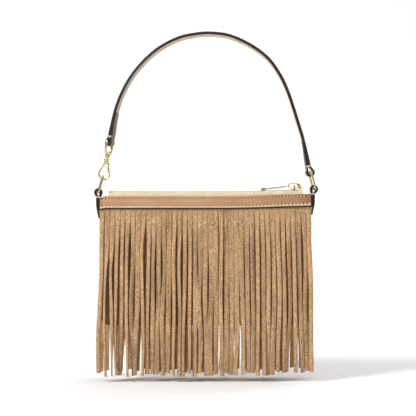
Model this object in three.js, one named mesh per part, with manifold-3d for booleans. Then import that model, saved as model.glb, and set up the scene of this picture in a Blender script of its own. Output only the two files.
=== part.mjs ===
// Small fringed suede bag with a zip top, hung by its strap. Millimetres, +Z up, front towards -Y.
// The origin is on the underside of the strap's highest stretch, over the middle of the pouch.
import * as THREE from 'three';
import { mergeVertices } from 'three/addons/utils/BufferGeometryUtils.js';
import Module from 'manifold-3d';

const wasm = await Module();
wasm.setup();

// ---- Driving dimensions. Heights are above the top edge of the bands unless they say otherwise. ----
const CARRY_HEIGHT = 159; // underside of the strap's top, over the bands' top edge
const GAP = 0.3; // between pieces that touch

const POUCH_HALF_WIDTH = 105;
const POUCH_BOTTOM = -128;
const POUCH_CORNER = 12;
const SUEDE = 1.0; // thickness of panels and fringes
const PANEL_TOP = -1;
const PANEL_TOP_Y = 9.5; // middle of a panel's thickness at its top edge
const PANEL_BOTTOM_Y = 14.5;
const GUSSET_THICKNESS = 1.2;

const BAND_HALF_WIDTH = 105;
const BAND_HEIGHT = 13;
const BAND_THICKNESS = 1.4;
const BAND_INNER_Y = 12;

const FRINGE_TOP = -8.5;
const FRINGE_TOP_Y = 11.2; // middle of the fringe sheet's thickness
const FRINGE_TIP = -178;
const FRINGE_UNCUT = -15; // the slits start here
const FRINGE_TOP_HALF_WIDTH = 104.6;
const FRINGE_TIP_HALF_WIDTH = 108;
const STRIP_COUNT = 41;
const SLIT = 0.7;

const ZIP_HEIGHT = 3.7; // middle of the teeth
const ZIP_LEFT = -93.5;
const ZIP_TEETH_RIGHT = 87.5;
const TAPE_THICKNESS = 0.6;
const TAPE_HALF_LENGTH = 97;
const TOOTH_PITCH = 5;
const TOOTH_WIDTH = 1.9;
const TOOTH_HEIGHT = 2.2;
const TOOTH_REACH = 0.9; // a tooth's tip, past the middle of the chain
const CHAIN_HALF_DEPTH = 3;

const SLIDER_X = 88.5;
const SLIDER_LENGTH = 12;
const SLIDER_HALF_DEPTH = 4.3;
const PULL_RING_RADIUS = 4.7; // to the middle of the wire
const PULL_RING_WIRE = 0.45;
const PULL_RING_LEAN = THREE.MathUtils.degToRad(48); // ring's plane, back from upright
const PULL_HINGE_X = 92.2;
const PULL_HINGE_Z = 9.75;
const PULL_TAB_LENGTH = 27.5;
const PULL_TAB_SLOPE = THREE.MathUtils.degToRad(6.6);

const STRAP_WIDTH = 9;
const STRAP_PLY = 1.6;
const LINING_PLY = 1.0;
const TAB_WIDTH = 9;
const LEFT_STRAP_LOOP = new THREE.Vector2(-95.4, 53.6);
const RIGHT_STRAP_LOOP = new THREE.Vector2(104.4, 23.3);
const LEFT_TAB_LOOP = new THREE.Vector2(-107.1, 3.7);
const RIGHT_TAB_LOOP = new THREE.Vector2(108.8, 6.9);
const LEFT_TAB_TIP = -22.5;
const RIGHT_TAB_TIP = -19;

const RING_WIRE = 0.9; // wire radius
const RING_HALF_WIDTH = 7; // to the middle of the side bars
const LEFT_RING_TOP = new THREE.Vector2(-102.45, 18.97);
const LEFT_RING_TURN = THREE.MathUtils.degToRad(8);
const RIGHT_RING_TURN = THREE.MathUtils.degToRad(13);

const HOOK_BALL = new THREE.Vector2(-98.6, 36.2); // middle of the swivel
const HOOK_LEAN = THREE.MathUtils.degToRad(9.8);
const HOOK_WIRE = 0.8;
const BIGHT_RADIUS = 5.2;
const BIGHT_CENTRE = -14.6; // along the hook's axis, from the swivel
const GATE_PIVOT = new THREE.Vector2(2.6, -3.6);
const GATE_TIP = new THREE.Vector2(5.0, -13.1);

// ---- Materials ----
const suede = new THREE.MeshStandardMaterial({ color: 0xb98f66, roughness: 0.95, metalness: 0 });
const bandLeather = new THREE.MeshStandardMaterial({ color: 0xcd9b6e, roughness: 0.5, metalness: 0 });
const strapLeather = new THREE.MeshStandardMaterial({ color: 0xb07a50, roughness: 0.5, metalness: 0 });
const liningLeather = new THREE.MeshStandardMaterial({ color: 0xc8b4a0, roughness: 0.7, metalness: 0 });
const tapeCloth = new THREE.MeshStandardMaterial({ color: 0xe4d9c4, roughness: 0.9, metalness: 0 });
const gold = new THREE.MeshStandardMaterial({ color: 0xd9b56a, roughness: 0.25, metalness: 1 });

const bag = new THREE.Group();
bag.position.z = -CARRY_HEIGHT;

function addPiece(name, geometry, material) {
  const mesh = new THREE.Mesh(geometry, material.clone());
  mesh.name = name;
  bag.add(mesh);
}

// ---- Solids: joined and cut by manifold-3d ----
function toSolid(geometry) {
  const bare = geometry.clone();
  bare.deleteAttribute('normal');
  bare.deleteAttribute('uv');
  const merged = mergeVertices(bare, 1e-4);
  return new wasm.Manifold(new wasm.Mesh({
    numProp: 3,
    vertProperties: new Float32Array(merged.attributes.position.array),
    triVerts: new Uint32Array(merged.index.array),
  }));
}

function toGeometry(solid) {
  const mesh = solid.getMesh();
  const geometry = new THREE.BufferGeometry();
  geometry.setAttribute('position', new THREE.BufferAttribute(mesh.vertProperties, 3));
  geometry.setIndex(new THREE.BufferAttribute(mesh.triVerts, 1));
  geometry.computeVertexNormals();
  return geometry;
}

// ---- Basic forms ----
function box(minX, maxX, minY, maxY, minZ, maxZ) {
  const geometry = new THREE.BoxGeometry(maxX - minX, maxY - minY, maxZ - minZ);
  return geometry.translate((minX + maxX) / 2, (minY + maxY) / 2, (minZ + maxZ) / 2);
}

// A shape drawn in Y and Z, extruded along X.
function extrudeAlongX(shape, minX, maxX, curveSegments = 8) {
  const geometry = new THREE.ExtrudeGeometry(shape, { depth: maxX - minX, bevelEnabled: false, curveSegments });
  const turn = new THREE.Matrix4().makeBasis(
    new THREE.Vector3(0, 1, 0), new THREE.Vector3(0, 0, 1), new THREE.Vector3(1, 0, 0),
  );
  return geometry.applyMatrix4(turn).translate(minX, 0, 0);
}

// A shape drawn in X and Z, extruded along Y.
function extrudeAlongY(shape, minY, maxY, curveSegments = 8) {
  const geometry = new THREE.ExtrudeGeometry(shape, { depth: maxY - minY, bevelEnabled: false, curveSegments });
  return geometry.rotateX(Math.PI / 2).translate(0, maxY, 0);
}

// A shape drawn in X and Y, extruded up Z.
function extrudeUp(shape, minZ, maxZ, curveSegments = 8) {
  const geometry = new THREE.ExtrudeGeometry(shape, { depth: maxZ - minZ, bevelEnabled: false, curveSegments });
  return geometry.translate(0, 0, minZ);
}

// A line of points, moved sideways by the given distance, with mitred corners.
function offsetLine(points, distance) {
  return points.map((point, i) => {
    const before = points[Math.max(i - 1, 0)];
    const after = points[Math.min(i + 1, points.length - 1)];
    const inward = (i > 0 ? point.clone().sub(before) : after.clone().sub(point)).normalize();
    const outward = (i < points.length - 1 ? after.clone().sub(point) : inward.clone()).normalize();
    const along = inward.clone().add(outward).normalize();
    const mitre = distance / Math.max(along.dot(inward), 0.5);
    return new THREE.Vector2(point.x - along.y * mitre, point.y + along.x * mitre);
  });
}

// The outline of a strip of even thickness that follows a line of points.
function stripShape(points, thickness) {
  const oneSide = offsetLine(points, thickness / 2);
  const otherSide = offsetLine(points, -thickness / 2).reverse();
  return new THREE.Shape([...oneSide, ...otherSide]);
}

// Round wire with two free ends, along a smooth curve through 3-D points.
function openWire(points, radius, steps) {
  const section = new THREE.Shape();
  section.absarc(0, 0, radius, 0, 2 * Math.PI, false);
  return new THREE.ExtrudeGeometry(section, {
    steps, curveSegments: 4, bevelEnabled: false, extrudePath: new THREE.CatmullRomCurve3(points),
  });
}

// Round wire bent to a closed outline in Y and Z: a torus whose turns are moved onto the outline.
function closedWire(outline, radius, sides) {
  const count = outline.length;
  const geometry = new THREE.TorusGeometry(10, radius, sides, count);
  const position = geometry.attributes.position;
  const sideways = offsetClosedLine(outline);
  for (let j = 0; j <= sides; j += 1) {
    for (let i = 0; i <= count; i += 1) {
      const round = (2 * Math.PI * j) / sides;
      const point = outline[i % count];
      const out = sideways[i % count];
      position.setXYZ(
        j * (count + 1) + i,
        radius * Math.sin(round),
        point.x + out.x * radius * Math.cos(round),
        point.y + out.y * radius * Math.cos(round),
      );
    }
  }
  return geometry;
}

// The outward direction at each point of a closed outline that runs anticlockwise.
function offsetClosedLine(outline) {
  return outline.map((point, i) => {
    const before = outline[(i + outline.length - 1) % outline.length];
    const after = outline[(i + 1) % outline.length];
    const along = after.clone().sub(before).normalize();
    return new THREE.Vector2(along.y, -along.x);
  });
}

function arc(centre, radius, startDegrees, endDegrees, steps) {
  const points = [];
  for (let i = 0; i <= steps; i += 1) {
    const angle = THREE.MathUtils.degToRad(startDegrees + ((endDegrees - startDegrees) * i) / steps);
    points.push(new THREE.Vector2(centre.x + radius * Math.cos(angle), centre.y + radius * Math.sin(angle)));
  }
  return points;
}

// ---- Pouch ----
// Seen from the front: straight sides, rounded bottom corners.
function pouchOutline(inset) {
  const half = POUCH_HALF_WIDTH - inset;
  const bottom = POUCH_BOTTOM + inset;
  const corner = POUCH_CORNER - inset;
  const outline = new THREE.Shape();
  outline.moveTo(half, PANEL_TOP);
  outline.lineTo(-half, PANEL_TOP);
  outline.lineTo(-half, bottom + corner);
  outline.absarc(-half + corner, bottom + corner, corner, Math.PI, 1.5 * Math.PI, false);
  outline.lineTo(half - corner, bottom);
  outline.absarc(half - corner, bottom + corner, corner, 1.5 * Math.PI, 2 * Math.PI, false);
  return outline;
}

// side is -1 for the front and 1 for the back.
function makePanel(side) {
  const section = stripShape([
    new THREE.Vector2(side * PANEL_TOP_Y, PANEL_TOP + 1),
    new THREE.Vector2(side * PANEL_BOTTOM_Y, POUCH_BOTTOM - 1),
  ], SUEDE);
  const sheet = toSolid(extrudeAlongX(section, -POUCH_HALF_WIDTH, POUCH_HALF_WIDTH));
  const cutter = toSolid(extrudeAlongY(pouchOutline(0), -30, 30));
  return toGeometry(sheet.intersect(cutter));
}

function makeGusset() {
  const innerTop = PANEL_TOP_Y - SUEDE / 2 - GAP;
  const innerBottom = PANEL_BOTTOM_Y - SUEDE / 2 - GAP;
  const between = new THREE.Shape([
    new THREE.Vector2(-innerTop, PANEL_TOP + 1),
    new THREE.Vector2(-innerBottom, POUCH_BOTTOM - 1),
    new THREE.Vector2(innerBottom, POUCH_BOTTOM - 1),
    new THREE.Vector2(innerTop, PANEL_TOP + 1),
  ]);
  const wedge = toSolid(extrudeAlongX(between, -POUCH_HALF_WIDTH - 1, POUCH_HALF_WIDTH + 1));
  const outer = toSolid(extrudeAlongY(pouchOutline(0), -30, 30));
  const hollow = toSolid(extrudeAlongY(pouchOutline(GUSSET_THICKNESS), -31, 31));
  const mouth = toSolid(box(
    -POUCH_HALF_WIDTH + GUSSET_THICKNESS, POUCH_HALF_WIDTH - GUSSET_THICKNESS, -31, 31, -20, 5,
  ));
  return toGeometry(outer.subtract(hollow).subtract(mouth).intersect(wedge));
}

function makeBand(side) {
  const near = side * BAND_INNER_Y;
  const far = side * (BAND_INNER_Y + BAND_THICKNESS);
  return box(
    -BAND_HALF_WIDTH, BAND_HALF_WIDTH, Math.min(near, far), Math.max(near, far), -BAND_HEIGHT, 0,
  );
}

// Half the fringe's width at a height: it spreads a little towards the tips.
function fringeHalfWidth(z) {
  const share = (FRINGE_TOP - z) / (FRINGE_TOP - FRINGE_TIP);
  return THREE.MathUtils.lerp(FRINGE_TOP_HALF_WIDTH, FRINGE_TIP_HALF_WIDTH, share);
}

// The comb seen from the front: one uncut edge along the top and a slit between each two strips.
function fringeOutline() {
  const points = [];
  points.push(new THREE.Vector2(fringeHalfWidth(FRINGE_TOP), FRINGE_TOP));
  points.push(new THREE.Vector2(-fringeHalfWidth(FRINGE_TOP), FRINGE_TOP));
  points.push(new THREE.Vector2(-fringeHalfWidth(FRINGE_TIP), FRINGE_TIP));
  for (let i = 1; i < STRIP_COUNT; i += 1) {
    const across = (2 * i) / STRIP_COUNT - 1;
    const atTip = across * fringeHalfWidth(FRINGE_TIP);
    const atTop = across * fringeHalfWidth(FRINGE_UNCUT);
    points.push(new THREE.Vector2(atTip - SLIT / 2, FRINGE_TIP));
    points.push(new THREE.Vector2(atTop - SLIT / 2, FRINGE_UNCUT));
    points.push(new THREE.Vector2(atTop + SLIT / 2, FRINGE_UNCUT));
    points.push(new THREE.Vector2(atTip + SLIT / 2, FRINGE_TIP));
  }
  points.push(new THREE.Vector2(fringeHalfWidth(FRINGE_TIP), FRINGE_TIP));
  return new THREE.Shape(points);
}

// The sheet lies along the panel, then hangs straight down from the pouch's bottom.
function makeFringe(side) {
  const slope = (PANEL_BOTTOM_Y - PANEL_TOP_Y) / (PANEL_TOP - POUCH_BOTTOM);
  const bottomY = FRINGE_TOP_Y + slope * (FRINGE_TOP - POUCH_BOTTOM);
  const section = stripShape([
    new THREE.Vector2(side * FRINGE_TOP_Y, FRINGE_TOP + 1),
    new THREE.Vector2(side * bottomY, POUCH_BOTTOM),
    new THREE.Vector2(side * bottomY, FRINGE_TIP - 1),
  ], SUEDE);
  const sheet = toSolid(extrudeAlongX(section, -FRINGE_TIP_HALF_WIDTH - 1, FRINGE_TIP_HALF_WIDTH + 1));
  const comb = toSolid(extrudeAlongY(fringeOutline(), -30, 30));
  return toGeometry(sheet.intersect(comb));
}

// ---- Zip ----
// The tape runs up behind the band, over its edge and in to the teeth.
function makeTape(side) {
  const section = stripShape([
    new THREE.Vector2(side * 8.4, -9),
    new THREE.Vector2(side * 8.4, -0.6),
    new THREE.Vector2(side * 5, ZIP_HEIGHT),
    new THREE.Vector2(side * (CHAIN_HALF_DEPTH + GAP), ZIP_HEIGHT),
  ], TAPE_THICKNESS);
  return extrudeAlongX(section, -TAPE_HALF_LENGTH, TAPE_HALF_LENGTH);
}

// A row of teeth on its bead, drawn from above. The back row's teeth sit half a pitch along.
function makeTeeth(side) {
  const spineInner = CHAIN_HALF_DEPTH - 1.1;
  const shift = side < 0 ? 0 : TOOTH_PITCH / 2;
  const points = [
    new THREE.Vector2(ZIP_TEETH_RIGHT, side * CHAIN_HALF_DEPTH),
    new THREE.Vector2(ZIP_LEFT, side * CHAIN_HALF_DEPTH),
    new THREE.Vector2(ZIP_LEFT, side * spineInner),
  ];
  const lastStart = ZIP_TEETH_RIGHT - TOOTH_WIDTH - 0.3;
  for (let x = ZIP_LEFT + 0.3 + shift; x <= lastStart; x += TOOTH_PITCH) {
    points.push(new THREE.Vector2(x, side * spineInner));
    points.push(new THREE.Vector2(x, -side * TOOTH_REACH));
    points.push(new THREE.Vector2(x + TOOTH_WIDTH, -side * TOOTH_REACH));
    points.push(new THREE.Vector2(x + TOOTH_WIDTH, side * spineInner));
  }
  points.push(new THREE.Vector2(ZIP_TEETH_RIGHT, side * spineInner));
  const row = new THREE.Shape(points);
  return extrudeUp(row, ZIP_HEIGHT - TOOTH_HEIGHT / 2, ZIP_HEIGHT + TOOTH_HEIGHT / 2);
}

function makeStop(minX, maxX, minY, maxY) {
  return box(minX, maxX, minY, maxY, ZIP_HEIGHT - 1, ZIP_HEIGHT + 1);
}

// Two plates with turned-in edges, the divider between them and the bridge on top.
function makeSlider() {
  const left = SLIDER_X - SLIDER_LENGTH / 2;
  const right = SLIDER_X + SLIDER_LENGTH / 2;
  const plate = 1.1;
  const lip = 0.8;
  const cavity = TOOTH_HEIGHT / 2 + GAP;
  const topPlate = ZIP_HEIGHT + cavity;
  const bottomPlate = ZIP_HEIGHT - cavity;
  const half = SLIDER_HALF_DEPTH;
  const bridgeHalf = 0.8;
  const bridgeLeft = SLIDER_X;
  const bridgeTop = 12.2;
  const bridgeBar = 1;
  const windowLeft = bridgeLeft + 0.9;
  const windowRight = right - 0.7;
  const outline = new THREE.Shape();
  outline.moveTo(left, -half + 1.2);
  outline.quadraticCurveTo(left + 4, -half, right - 3, -half);
  outline.quadraticCurveTo(right, -half, right, -half + 2.5);
  outline.lineTo(right, half - 2.5);
  outline.quadraticCurveTo(right, half, right - 3, half);
  outline.quadraticCurveTo(left + 4, half, left, half - 1.2);
  const body = toSolid(extrudeUp(outline, bottomPlate - plate, topPlate + plate));
  const channel = toSolid(box(left - 1, right + 1, -half + lip + 0.45, half - lip - 0.45, bottomPlate, topPlate));
  const tapeSlot = toSolid(box(left - 1, right + 1, -half - 1, half + 1, ZIP_HEIGHT - 0.7, ZIP_HEIGHT + 0.7));
  const post = toSolid(box(right - 4, right - 1.5, -0.9, 0.9, bottomPlate - 0.2, topPlate + 0.2));
  const bridge = toSolid(box(bridgeLeft, right, -bridgeHalf, bridgeHalf, topPlate + plate / 2, bridgeTop));
  const bridgeWindow = toSolid(box(windowLeft, windowRight, -2, 2, topPlate + plate, bridgeTop - bridgeBar));
  return toGeometry(body.subtract(channel).subtract(tapeSlot).add(post).add(bridge).subtract(bridgeWindow));
}

// A circle of wire whose plane holds the X direction and leans back from upright.
function makePullRing() {
  return new THREE.TorusGeometry(PULL_RING_RADIUS, PULL_RING_WIRE, 8, 24)
    .rotateX(Math.PI / 2 - PULL_RING_LEAN)
    .translate(PULL_HINGE_X - PULL_RING_RADIUS, 0, PULL_HINGE_Z);
}

// A flat bar from the ring's left side, with an eye at one end and a thick block at the other.
function makePullTab() {
  const eyeHalf = 2.8;
  const outline = new THREE.Shape();
  outline.absarc(0, 0, eyeHalf, -0.45 * Math.PI, 0.45 * Math.PI, false);
  outline.lineTo(-4, 1.6);
  outline.lineTo(-PULL_TAB_LENGTH, 1.6);
  outline.lineTo(-PULL_TAB_LENGTH, -1.6);
  outline.lineTo(-4, -1.6);
  const eye = new THREE.Path();
  eye.absellipse(0, 0, 1.5, 1.8, 0, 2 * Math.PI, true);
  outline.holes.push(eye);
  const bar = toSolid(extrudeUp(outline, -0.35, 0.35, 5));
  const block = toSolid(box(-PULL_TAB_LENGTH, -PULL_TAB_LENGTH + 5, -1.9, 1.9, -1.5, 1.5));
  return toGeometry(bar.add(block))
    .rotateY(-PULL_TAB_SLOPE)
    .translate(PULL_HINGE_X - 2 * PULL_RING_RADIUS, 0, PULL_HINGE_Z);
}

// ---- Tabs and rings ----
// side is -1 for the left tab and 1 for the right. The leather goes up the gusset, round the ring and down.
function makeTab(side, loop, tip) {
  const ply = 1.8;
  const inner = side * (POUCH_HALF_WIDTH + GAP + ply / 2);
  const outer = inner + side * (ply + GAP);
  const radius = 2.3 + ply / 2;
  const towards = side < 0 ? [-52, 236] : [232, -56];
  const line = [
    new THREE.Vector2(inner, tip + 10),
    new THREE.Vector2(inner, -1.5),
    ...arc(loop, radius, towards[0], towards[1], 16),
    new THREE.Vector2(outer, -1.5),
    new THREE.Vector2(outer, tip + 0.5),
  ];
  const folded = toSolid(extrudeAlongY(stripShape(line, ply), -TAB_WIDTH / 2, TAB_WIDTH / 2));
  const outline = new THREE.Shape([
    new THREE.Vector2(-TAB_WIDTH / 2 - 1, 15),
    new THREE.Vector2(-TAB_WIDTH / 2 - 1, tip + 8),
    new THREE.Vector2(0, tip),
    new THREE.Vector2(TAB_WIDTH / 2 + 1, tip + 8),
    new THREE.Vector2(TAB_WIDTH / 2 + 1, 15),
  ]);
  const pointed = toSolid(extrudeAlongX(outline, -130, 130));
  return toGeometry(folded.intersect(pointed));
}

// A rectangle of round wire between two heights, turned a little about its own length.
function makeRing(top, bottom, turnAngle) {
  const middle = top.clone().add(bottom).multiplyScalar(0.5);
  const halfLength = top.distanceTo(bottom) / 2;
  const lean = Math.atan2(top.x - bottom.x, top.y - bottom.y);
  const corner = 1.6;
  const straightWidth = RING_HALF_WIDTH - corner;
  const straightLength = halfLength - corner;
  const quarters = [[1, 1, 0], [-1, 1, 90], [-1, -1, 180], [1, -1, 270]];
  const outline = quarters.flatMap(([across, up, start]) => arc(
    new THREE.Vector2(across * straightWidth, up * straightLength), corner, start, start + 90, 3,
  ));
  return closedWire(outline, RING_WIRE, 10)
    .rotateZ(turnAngle)
    .rotateY(lean)
    .translate(middle.x, 0, middle.y);
}

// ---- Snap hook. Its own frame has the swivel at the origin and the bight below it. ----
function placeHookPiece(geometry) {
  return geometry.rotateY(HOOK_LEAN).translate(HOOK_BALL.x, 0, HOOK_BALL.y);
}

function makeHookEye() {
  const top = HOOK_BALL.distanceTo(LEFT_STRAP_LOOP);
  const loop = [
    new THREE.Vector3(0, -2.4, 1.2),
    new THREE.Vector3(0, -5.9, 6.5),
    new THREE.Vector3(0, -6.2, top - 1),
    new THREE.Vector3(0, -5.2, top),
    new THREE.Vector3(0, 5.2, top),
    new THREE.Vector3(0, 6.2, top - 1),
    new THREE.Vector3(0, 5.9, 6.5),
    new THREE.Vector3(0, 2.4, 1.2),
  ];
  const barrel = new THREE.LatheGeometry([
    new THREE.Vector2(1.3, -2.1),
    new THREE.Vector2(2.1, -2.1),
    new THREE.Vector2(2.7, -0.8),
    new THREE.Vector2(2.7, 0.8),
    new THREE.Vector2(2.1, 2.1),
    new THREE.Vector2(1.3, 2.1),
    new THREE.Vector2(1.3, -2.1),
  ], 20).rotateX(Math.PI / 2);
  return placeHookPiece(toGeometry(toSolid(openWire(loop, RING_WIRE, 36)).add(toSolid(barrel)).subtract(
    toSolid(new THREE.CylinderGeometry(1.3, 1.3, 8, 20).rotateX(Math.PI / 2)),
  )));
}

function makeHookBody() {
  const bight = new THREE.Vector2(0, BIGHT_CENTRE);
  const line = [
    new THREE.Vector2(-1.6, -3.6),
    ...arc(bight, BIGHT_RADIUS, 172, 358, 12),
  ].map((point) => new THREE.Vector3(point.x, 0, point.y));
  const shank = new THREE.LatheGeometry([
    new THREE.Vector2(0, -4.2),
    new THREE.Vector2(2.3, -4.2),
    new THREE.Vector2(2.5, -3.6),
    new THREE.Vector2(2.5, -2.5),
    new THREE.Vector2(1, -2.5),
    new THREE.Vector2(1, 2.5),
    new THREE.Vector2(1.8, 2.5),
    new THREE.Vector2(1.6, 3.3),
    new THREE.Vector2(0, 3.7),
  ], 20).rotateX(Math.PI / 2);
  const lugs = [-1, 1].map((side) => toSolid(box(
    0.6, 3.6, Math.min(side * 1.5, side * 2.1), Math.max(side * 1.5, side * 2.1), -4.7, -2.6,
  )));
  const slot = toSolid(box(1.2, 4, -1.5, 1.5, -5.4, -2.4));
  const bore = toSolid(new THREE.CylinderGeometry(0.55, 0.55, 6, 12).translate(GATE_PIVOT.x, 0, GATE_PIVOT.y));
  const hub = toSolid(shank).add(lugs[0]).add(lugs[1]).subtract(slot).subtract(bore);
  return placeHookPiece(toGeometry(hub.add(toSolid(openWire(line, HOOK_WIRE, 30)))));
}

function makeGate() {
  const pivot = new THREE.Vector3(GATE_PIVOT.x, 0, GATE_PIVOT.y);
  const tip = new THREE.Vector3(GATE_TIP.x, 0, GATE_TIP.y);
  const below = pivot.clone().lerp(tip, 0.14);
  const bar = toSolid(openWire([below, tip], 0.72, 1));
  const eye = toSolid(new THREE.CylinderGeometry(0.95, 0.95, 1.4, 14).translate(pivot.x, -0.5, pivot.z));
  const neck = toSolid(box(-0.5, 0.5, -1.1, 0.1, -1.6, 0).rotateY(-0.25).translate(pivot.x, 0, pivot.z));
  const knob = pivot.clone().lerp(tip, 0.72);
  const nub = toSolid(new THREE.SphereGeometry(0.9, 10, 8).translate(knob.x + 0.5, 0, knob.z));
  const bore = toSolid(new THREE.CylinderGeometry(0.5, 0.5, 6, 12).translate(pivot.x, 0, pivot.z));
  return placeHookPiece(toGeometry(eye.add(neck).add(bar).add(nub).subtract(bore)));
}

function makeGatePin() {
  return placeHookPiece(new THREE.CylinderGeometry(0.4, 0.4, 4.4, 12).translate(GATE_PIVOT.x, 0, GATE_PIVOT.y));
}

// A torsion coil round the pin, beside the gate's eye.
function makeGateSpring() {
  const turns = 2.5;
  const steps = 24;
  const points = [];
  for (let i = 0; i <= steps; i += 1) {
    const angle = (2 * Math.PI * turns * i) / steps;
    points.push(new THREE.Vector3(
      GATE_PIVOT.x + 0.78 * Math.cos(angle), 0.5 + (0.75 * i) / steps, GATE_PIVOT.y + 0.78 * Math.sin(angle),
    ));
  }
  return placeHookPiece(openWire(points, 0.12, 36));
}

// ---- Strap ----
// Middle of the outer ply, from the left loop up over the top to the right loop.
const STRAP_ROUTE = [
  [-94.6, 64], [-92, 76], [-87.3, 91], [-78.5, 111], [-65.5, 130], [-52, 144.3], [-36, 155],
  [-14, 161.2], [4, 162], [24, 160], [45, 149.8], [59.5, 140.2], [72.5, 123.5], [83.2, 100],
  [91.6, 77], [97.8, 55], [102.6, 37],
].map(([x, z]) => new THREE.Vector2(x, z));
const FOLD_BACK = 32; // length of the ply turned back up on the inside

function strapCurve() {
  return new THREE.SplineCurve(STRAP_ROUTE);
}

// The same curve moved sideways: a positive distance is towards the inside of the arch.
function strapStretch(from, to, count, inside) {
  const curve = strapCurve();
  const points = [];
  for (let i = 0; i <= count; i += 1) {
    const at = from + ((to - from) * i) / count;
    const point = curve.getPointAt(at);
    const tangent = curve.getTangentAt(at);
    points.push(new THREE.Vector2(point.x + tangent.y * inside, point.y - tangent.x * inside));
  }
  return points;
}

function makeStrapOuter() {
  const share = FOLD_BACK / strapCurve().getLength();
  const inside = STRAP_PLY + LINING_PLY + 2 * GAP;
  const leftFold = strapStretch(share, 0, 6, inside);
  const rightFold = strapStretch(1, 1 - share, 6, inside);
  const line = [
    ...leftFold,
    ...arc(LEFT_STRAP_LOOP, 2.5 + STRAP_PLY / 2, 50, -216, 14),
    ...strapStretch(0, 1, 44, 0),
    ...arc(RIGHT_STRAP_LOOP, 3.2 + STRAP_PLY / 2, 40, -222, 14),
    ...rightFold,
  ];
  return extrudeAlongY(stripShape(line, STRAP_PLY), -STRAP_WIDTH / 2, STRAP_WIDTH / 2);
}

function makeStrapLining() {
  const inside = STRAP_PLY / 2 + GAP + LINING_PLY / 2;
  const line = strapStretch(0.012, 0.988, 44, inside);
  return extrudeAlongY(stripShape(line, LINING_PLY), -STRAP_WIDTH / 2, STRAP_WIDTH / 2);
}

// ---- Assembly ----
addPiece('front_panel', makePanel(-1), suede);
addPiece('back_panel', makePanel(1), suede);
addPiece('gusset', makeGusset(), suede);
addPiece('front_band', makeBand(-1), bandLeather);
addPiece('back_band', makeBand(1), bandLeather);
addPiece('front_fringe', makeFringe(-1), suede);
addPiece('back_fringe', makeFringe(1), suede);
addPiece('zip_tape_front', makeTape(-1), tapeCloth);
addPiece('zip_tape_back', makeTape(1), tapeCloth);
addPiece('zip_teeth_front', makeTeeth(-1), gold);
addPiece('zip_teeth_back', makeTeeth(1), gold);
addPiece('zip_top_stop_front', makeStop(95, 96.8, -2.9, -1.3), gold);
addPiece('zip_top_stop_back', makeStop(95, 96.8, 1.3, 2.9), gold);
addPiece('zip_bottom_stop', makeStop(-96, -93.9, -2.9, 2.9), gold);
addPiece('zip_slider', makeSlider(), gold);
addPiece('pull_ring', makePullRing(), gold);
addPiece('pull_tab', makePullTab(), gold);
addPiece('left_tab', makeTab(-1, LEFT_TAB_LOOP, LEFT_TAB_TIP), strapLeather);
addPiece('right_tab', makeTab(1, RIGHT_TAB_LOOP, RIGHT_TAB_TIP), strapLeather);
addPiece('left_ring', makeRing(LEFT_RING_TOP, LEFT_TAB_LOOP, LEFT_RING_TURN), gold);
addPiece('right_ring', makeRing(RIGHT_STRAP_LOOP, RIGHT_TAB_LOOP, RIGHT_RING_TURN), gold);
addPiece('hook_eye', makeHookEye(), gold);
addPiece('hook_body', makeHookBody(), gold);
addPiece('hook_gate', makeGate(), gold);
addPiece('gate_pin', makeGatePin(), gold);
addPiece('gate_spring', makeGateSpring(), gold);
addPiece('strap_outer', makeStrapOuter(), strapLeather);
addPiece('strap_lining', makeStrapLining(), liningLeather);

export default bag;
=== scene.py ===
"""Fringed suede bag hung by its strap: the looks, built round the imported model."""
import math
import random

import bmesh
import bpy
from mathutils import Matrix, Vector


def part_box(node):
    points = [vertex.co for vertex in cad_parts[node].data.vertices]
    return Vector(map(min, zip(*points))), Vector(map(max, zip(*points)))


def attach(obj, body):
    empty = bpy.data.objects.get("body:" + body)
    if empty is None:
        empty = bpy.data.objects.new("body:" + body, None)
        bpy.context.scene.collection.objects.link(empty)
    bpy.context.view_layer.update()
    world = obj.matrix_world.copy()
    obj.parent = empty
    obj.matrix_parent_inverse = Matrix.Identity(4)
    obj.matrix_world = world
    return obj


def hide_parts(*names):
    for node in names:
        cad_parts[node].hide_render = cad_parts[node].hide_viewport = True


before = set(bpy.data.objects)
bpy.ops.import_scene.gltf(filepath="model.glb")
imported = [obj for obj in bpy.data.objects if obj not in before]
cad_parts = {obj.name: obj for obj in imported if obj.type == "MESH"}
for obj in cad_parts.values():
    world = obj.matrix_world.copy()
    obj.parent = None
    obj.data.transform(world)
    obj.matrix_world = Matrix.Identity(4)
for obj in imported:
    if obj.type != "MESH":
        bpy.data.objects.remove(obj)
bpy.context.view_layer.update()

MM = 0.001
RANDOM = random.Random(41)

# ---- Sizes and places, in mm, with heights above the top edge of the bands ----
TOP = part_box("front_band")[1][2] / MM
BAND_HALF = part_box("front_band")[1][0] / MM - 0.9
BAND_FACE_Y = -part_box("front_band")[0][1] / MM
BAND_BACK_Y = -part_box("front_band")[1][1] / MM
POUCH_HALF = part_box("front_panel")[1][0] / MM
POUCH_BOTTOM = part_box("front_panel")[0][2] / MM - TOP
FRINGE_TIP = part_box("front_fringe")[0][2] / MM - TOP
FRINGE_HALF_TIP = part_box("front_fringe")[1][0] / MM
POUCH_WIDTH = 0.21  # metres, for the shading
PANEL_TOP_Y = 9.5
PANEL_BOTTOM_Y = 14.5
PANEL_TOP = -1.0
PANEL_HEIGHT = 127.0

SLIDER_X = 88.5
PULL_HINGE = (82.8, 0.0, 9.75)
ZIP_HEIGHT = 3.7
TAPE_LEFT = -97.0
TAPE_RIGHT = 96.6
TEETH_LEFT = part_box("zip_teeth_front")[0][0] / MM
TEETH_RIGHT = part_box("zip_teeth_front")[1][0] / MM
TOOTH_PITCH = 5.0  # along one tape; the other tape's teeth stand between

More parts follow.
